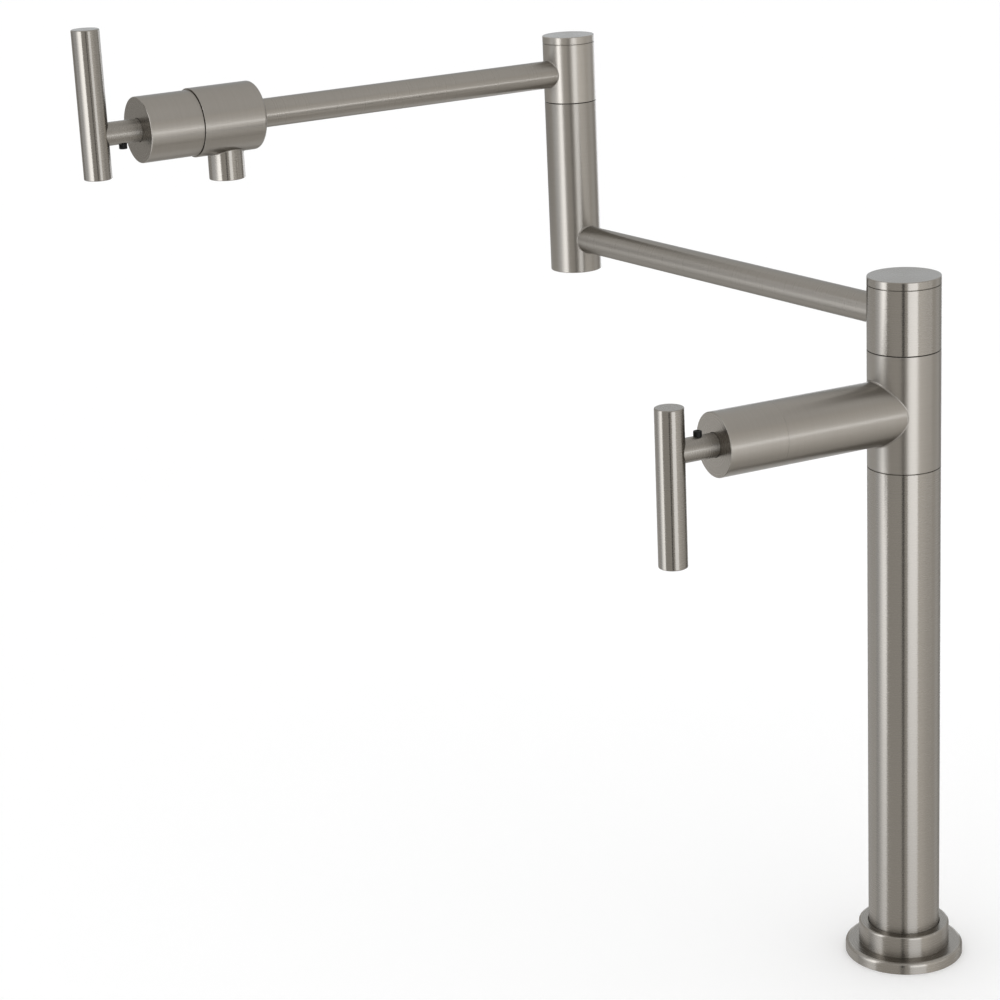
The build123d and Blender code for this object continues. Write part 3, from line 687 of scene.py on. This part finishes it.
def handle(prefix, place, front, up, long_end, short_end):
    """Stem along a valve's axis, and the bar lever across it in front of the bonnet."""
    body = prefix + "_handle"
    lever_at = front + LEVER_STANDOFF
    stem_low, stem_tip = lever_at - STEM_BACK, lever_at - STEM_TIP
    put(Shell().turn(place, [
        (0, stem_low), (STEM_R, stem_low, 0.4), (STEM_R, stem_tip), (0, stem_tip),
    ], closed=False, around=SLIM_AROUND), prefix + "_stem_turned", body, HANDLE_PAINTED_SHADE,
        [prefix + "_handle_stem"])
    across = crosswise(place, lever_at, up)
    put(Shell().turn(across, [
        (0, -short_end), (LEVER_R, -short_end, LEVER_EDGE), (LEVER_R, long_end, LEVER_EDGE),
        (0, long_end),
    ], closed=False, around=SLIM_AROUND), prefix + "_lever_turned", body, HANDLE_PAINTED_SHADE,
        [prefix + "_lever"])
    put_fillet(prefix + "_lever_joint", body, across, crosswise(across, 0, up), LEVER_R, STEM_R,
               STEM_FILLET, SLIM_AROUND)


handle("side", SIDE, SIDE_FRONT, up=-1, long_end=58.9, short_end=23.4)
handle("spout", UPPER, SPOUT_FRONT, up=1, long_end=55.9, short_end=23.1)

# Carried-over solids

slots = {p["node"]: p["material_slot"] for p in frame["record"]["subparts"]}
for node_name, solid in frame["nodes"].items():
    solid.data.materials.clear()
    solid.data.materials.append(CARRIED[slots[node_name]])


# Studio: the floor, the pale surroundings, and soft boxes and flags that only the metal mirrors

COOL = (0.97, 1.0, 1.05)
WARM = (1.02, 1.0, 0.97)
SKY = (0.96, 1.0, 1.04)


def even(strength):
    return [(0, strength), (1, strength)]


def glow(name, stops, tint, fade=None):
    """Light whose strength follows stops along a card, times fade up it."""
    nodes = Nodes(name)
    nodes.tree.nodes.remove(nodes.shader)
    along, up, _ = nodes.split(nodes.coordinates("UV"))
    strength = nodes.curve(along, stops)
    if fade:
        strength = nodes.math("MULTIPLY", strength, nodes.curve(up, fade))
    light = nodes.add("ShaderNodeEmission", {"Color": rgba(tint), "Strength": strength})
    nodes.feed(light.outputs[0], nodes.tree.nodes["Material Output"].inputs["Surface"])
    return nodes.material


def sheet(name, corners, material):
    """One rectangle of the studio, with its first corner at the UV origin."""
    mesh = bpy.data.meshes.new(name)
    mesh.from_pydata(corners, [], [(0, 1, 2, 3)])
    layer = mesh.uv_layers.new(name="UVMap")
    layer.data.foreach_set("uv", [0, 0, 1, 0, 1, 1, 0, 1])
    mesh.materials.append(material)
    obj = bpy.data.objects.new(name, mesh)
    bpy.context.scene.collection.objects.link(obj)
    return obj


def level_corners(half, height, centre_y=0.0):
    """Corners of a level square, in metres."""
    ways = ((-half, -half), (half, -half), (half, half), (-half, half))
    return [(x, y + centre_y, height) for x, y in ways]


def only_mirrored(obj):
    obj.visible_camera = False
    obj.visible_diffuse = False
    obj.visible_shadow = False
    obj.visible_transmission = False
    obj.visible_volume_scatter = False


def card(name, start, end, low, high, stops, fade=None, tint=COOL):
    """Upright card between two plan points and two heights, in millimetres."""
    edges = ((start, low), (end, low), (end, high), (start, high))
    corners = [Vector((*plan, height)) * MM for plan, height in edges]
    only_mirrored(sheet(name, corners, glow(name, stops, tint, fade)))


FLOOR_HALF, FLOOR_LIFT = 30.0, 0.045
paint = Nodes("floor_pale")
seen = paint.add("ShaderNodeLightPath")
paint.shade({
    "Base Color": rgba(grey(0.96)),
    "Roughness": 0.9,
    "Specular IOR Level": 0.2,
    "Emission Color": rgba(WHITE),
    "Emission Strength": paint.math("MULTIPLY", seen.outputs["Is Camera Ray"], FLOOR_LIFT),
})
floor = sheet("studio_floor", level_corners(FLOOR_HALF, 0.0), paint.material)
floor.visible_glossy = False

world = bpy.data.worlds.new("studio")
bpy.context.scene.world = world
world.use_nodes = True
world.node_tree.nodes["Background"].inputs["Color"].default_value = rgba(WHITE)
world.node_tree.nodes["Background"].inputs["Strength"].default_value = 1.0

# The two soft boxes in front of the object, left and right of the camera
left_near, left_far, left_split = (-700, -15), (-765, 690), 330
card("softbox_left", left_near, left_far, -400, left_split,
     [(0, 4.1), (0.25, 3.9), (0.4, 3.0), (0.58, 1.85), (0.8, 1.25), (1, 1.05)],
     [(0, 0.26), (0.18, 0.32), (0.27, 0.4), (0.37, 0.57), (0.5, 0.76), (0.62, 0.86), (0.84, 1),
      (1, 1)])
card("softbox_left_top", left_near, left_far, left_split, 900,
     [(0, 4.1), (0.25, 3.9), (0.36, 2.4), (0.5, 1.1), (1, 0.95)])
card("softbox_right", (-305, -692), (130, -947), -600, 800,
     [(0, 3.1), (0.35, 3.55), (1, 3.85)],
     [(0, 0.3), (0.14, 0.34), (0.2, 0.41), (0.26, 0.53), (0.3, 0.62), (0.34, 0.76), (0.4, 0.91),
      (0.46, 1), (0.7, 1), (0.85, 0.45), (1, 0.4)])
card("strip_low_right", (80, -930), (640, -400), 215, 290, [(0, 2.9), (1, 2.7)])

# Flags round the front, which set the tone between the bright bands on the metal
flag_low, flag_high = -900, 1000
card("flag_front_left", (-684, -12), (-900, -1130), flag_low, flag_high, even(0.78), tint=WARM)
card("flag_front", (-900, -1140), (-325, -692), flag_low, flag_high, even(0.78), tint=WARM)
card("flag_camera", (-720, -814), (-502, -965), -700, 760, even(0.45),
     [(0, 1), (0.22, 1), (0.28, 0.25), (0.31, 0.01), (1, 0.01)], WARM)
card("flag_right", (136, -946), (900, -200), flag_low, flag_high,
     [(0, 1.0), (0.08, 1.3), (0.3, 1.15), (0.5, 0.95), (1, 0.85)], tint=WARM)

# Cards behind the object, and one below the deck for the undersides
back_split = 395
card("wall_back", (1050, 480), (-150, 1230), 400, 1000, even(1.06), tint=SKY)
card("softbox_back", (860, 660), (420, 1010), -300, back_split, even(2.4))
card("flag_back_right", (1090, 180), (870, 640), flag_low, back_split, even(0.6), tint=WARM)
card("flag_left_back", (-760, 700), (200, 940), 230, 500, even(0.55), tint=WARM)
card("flag_back_left", (400, 1020), (40, 1110), flag_low, back_split, even(0.7), tint=WARM)
only_mirrored(sheet("underside_card", level_corners(1.3, -0.7, centre_y=-1.0),
                    glow("underside_card", even(0.81), WARM)))

# Camera, from the fit of the photograph: its place in metres, and its axes in the frame

scene = bpy.context.scene
eye = Vector((-0.769724, -1.078081, 0.671746))
right = Vector((0.88835205, -0.45698479, -0.04467151))
down = Vector((-0.17319923, -0.24340031, -0.95433658))
ahead = Vector((0.42524425, 0.85552393, -0.29537458))
lens = bpy.data.cameras.new("camera")
lens.lens = 95.18
lens.sensor_width = 36.0
lens.clip_end = 100.0
camera = bpy.data.objects.new("camera", lens)
scene.collection.objects.link(camera)
axes = Matrix((right, -down, -ahead)).transposed().to_4x4()
camera.matrix_world = Matrix.Translation(eye) @ axes
scene.camera = camera
scene.view_settings.view_transform = "Standard"
